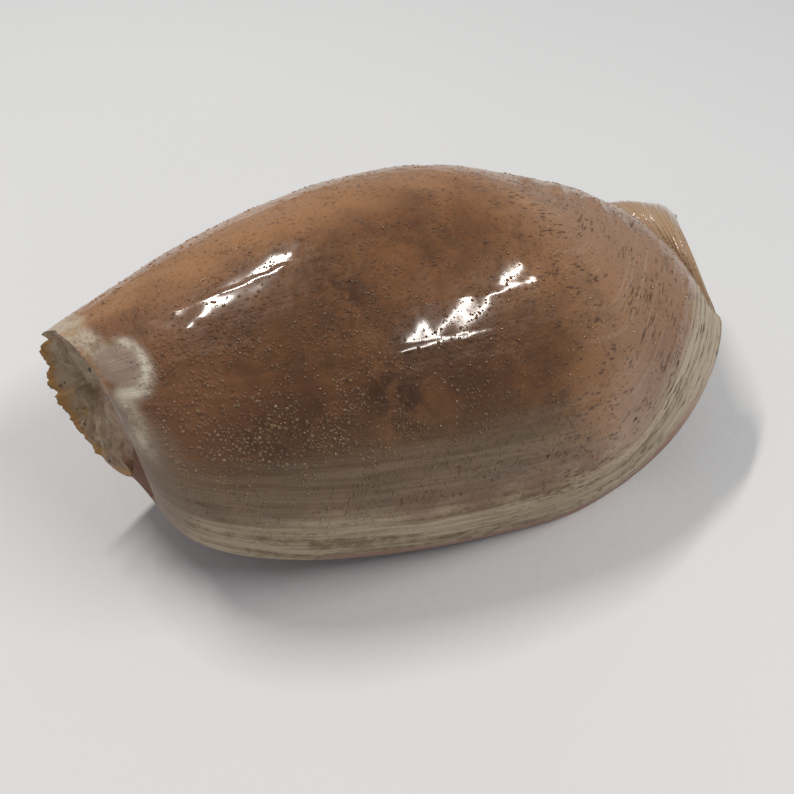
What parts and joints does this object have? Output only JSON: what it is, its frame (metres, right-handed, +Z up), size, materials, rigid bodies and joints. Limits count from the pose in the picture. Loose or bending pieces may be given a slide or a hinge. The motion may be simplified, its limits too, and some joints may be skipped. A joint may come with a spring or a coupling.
{
  "type": "elephant snout volute shell",
  "caption": "Large glazed volute shell lying mouth down, with a blunt cut-off snout end, a long open mouth, a broad notch and pleats on its pillar.",
  "frame": {"origin": "middle of the shell's outline, on the surface that it lies on", "axes": "+X along the shell from the blunt snout end to the siphon notch, +Z up from the surface, with the outer lip on the -Y side"},
  "size_m": [0.2016, 0.1034, 0.0843],
  "materials": {
    "shell": "wet-looking glaze over mottled tan and brown shell, cream near the lip, apricot inside"
  },
  "bodies": {
    "root": {"shell": "shell"}
  },
  "joints": []
}
